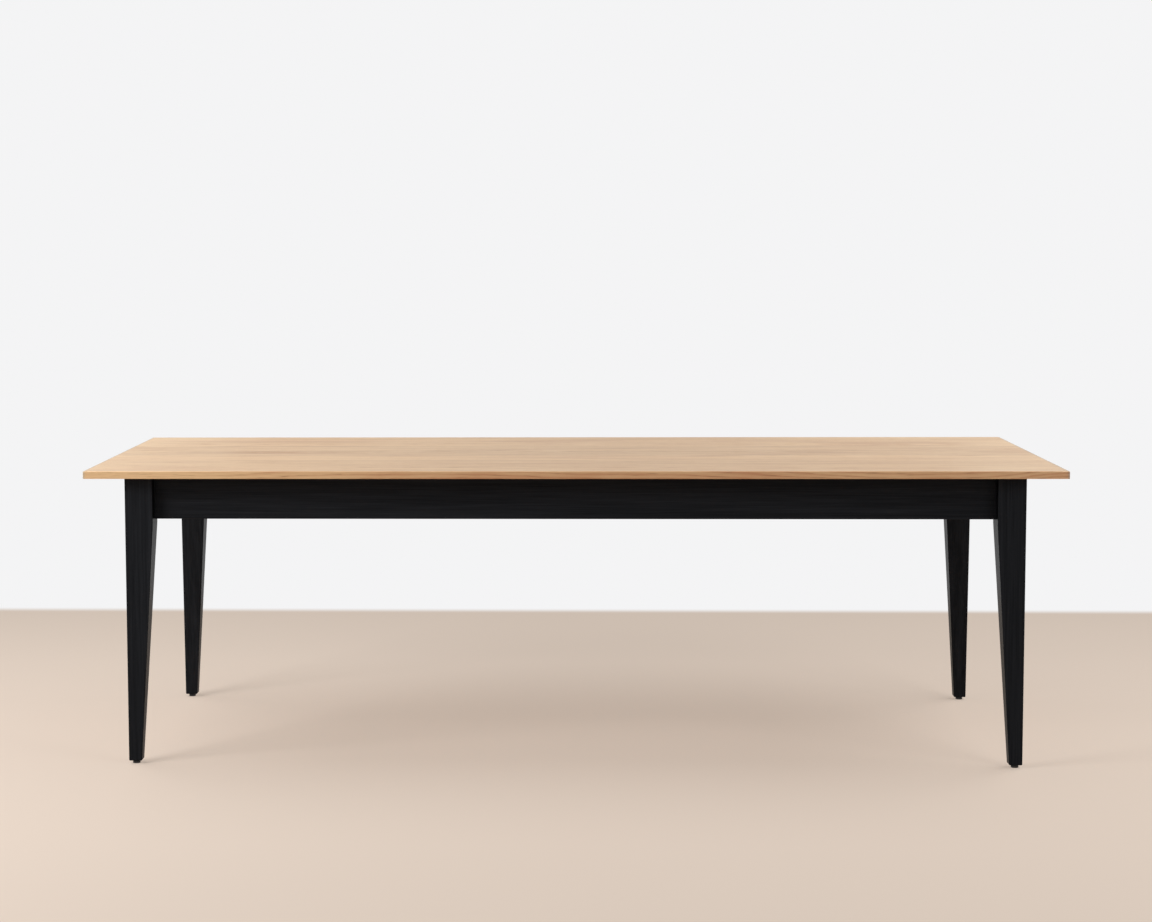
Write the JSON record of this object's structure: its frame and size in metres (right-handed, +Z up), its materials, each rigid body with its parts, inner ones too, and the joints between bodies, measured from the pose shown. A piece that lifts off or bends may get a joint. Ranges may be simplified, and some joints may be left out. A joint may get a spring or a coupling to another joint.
{
  "type": "dining table",
  "caption": "Long rectangular dining table with a pale wood top on a black base of straight aprons and square legs tapered on their inner faces, with screw-in levelling feet.",
  "frame": {"origin": "middle of the table's footprint, on the floor", "axes": "+X along the table's length, +Y from its front to its back, +Z up"},
  "size_m": [2.438, 1.016, 0.749],
  "materials": {
    "oak_top": "clear matt lacquer on pale oak",
    "black_base": "satin black lacquer, grain just showing",
    "birch_block": "planed, unfinished",
    "zinc_steel": "bright zinc plated",
    "black_steel": "black zinc plated",
    "black_nylon": "moulded"
  },
  "bodies": {
    "table": {"top_board_1": "oak_top", "top_board_2": "oak_top", "top_board_3": "oak_top", "top_board_4": "oak_top", "top_board_5": "oak_top", "top_board_6": "oak_top", "top_board_7": "oak_top", "front_apron": "black_base", "back_apron": "black_base", "left_end_apron": "black_base", "right_end_apron": "black_base", "leg_front_left": "black_base", "leg_front_right": "black_base", "leg_back_left": "black_base", "leg_back_right": "black_base", "corner_block_front_left": "birch_block", "corner_block_front_right": "birch_block", "corner_block_back_left": "birch_block", "corner_block_back_right": "birch_block", "cross_rail_1": "black_base", "cross_rail_2": "black_base", "cross_rail_3": "black_base", "hanger_bolts": "zinc_steel", "bolt_washers": "zinc_steel", "bolt_nuts": "zinc_steel", "corner_screws": "zinc_steel", "rail_screws": "zinc_steel", "top_clips": "zinc_steel", "clip_screws": "zinc_steel", "foot_inserts": "zinc_steel"},
    "pad_front_left": {"foot_pad_front_left": "black_nylon"},
    "stem_front_left": {"foot_stem_front_left": "black_steel"},
    "pad_front_right": {"foot_pad_front_right": "black_nylon"},
    "stem_front_right": {"foot_stem_front_right": "black_steel"},
    "pad_back_left": {"foot_pad_back_left": "black_nylon"},
    "stem_back_left": {"foot_stem_back_left": "black_steel"},
    "pad_back_right": {"foot_pad_back_right": "black_nylon"},
    "stem_back_right": {"foot_stem_back_right": "black_steel"}
  },
  "joints": [
    {"name": "foot_height_front_left", "type": "slide", "parent": "table", "child": "pad_front_left", "axis": [0, 0, -1], "range_m": [0, 0.01]},
    {"name": "foot_turn_front_left", "type": "hinge", "parent": "pad_front_left", "child": "stem_front_left", "pos_m": [-1.1055, -0.4515, 0.008], "axis": [0, 0, -1], "range_deg": [0, 2880]},
    {"name": "foot_height_front_right", "type": "slide", "parent": "table", "child": "pad_front_right", "axis": [0, 0, -1], "range_m": [0, 0.01]},
    {"name": "foot_turn_front_right", "type": "hinge", "parent": "pad_front_right", "child": "stem_front_right", "pos_m": [1.1055, -0.4515, 0.008], "axis": [0, 0, -1], "range_deg": [0, 2880]},
    {"name": "foot_height_back_left", "type": "slide", "parent": "table", "child": "pad_back_left", "axis": [0, 0, -1], "range_m": [0, 0.01]},
    {"name": "foot_turn_back_left", "type": "hinge", "parent": "pad_back_left", "child": "stem_back_left", "pos_m": [-1.1055, 0.4515, 0.008], "axis": [0, 0, -1], "range_deg": [0, 2880]},
    {"name": "foot_height_back_right", "type": "slide", "parent": "table", "child": "pad_back_right", "axis": [0, 0, -1], "range_m": [0, 0.01]},
    {"name": "foot_turn_back_right", "type": "hinge", "parent": "pad_back_right", "child": "stem_back_right", "pos_m": [1.1055, 0.4515, 0.008], "axis": [0, 0, -1], "range_deg": [0, 2880]}
  ],
  "couplings": [
    {"joint": "foot_height_front_left", "follows": "foot_turn_front_left", "m_per_rad": 0.0001989},
    {"joint": "foot_height_front_right", "follows": "foot_turn_front_right", "m_per_rad": 0.0001989},
    {"joint": "foot_height_back_left", "follows": "foot_turn_back_left", "m_per_rad": 0.0001989},
    {"joint": "foot_height_back_right", "follows": "foot_turn_back_right", "m_per_rad": 0.0001989}
  ]
}
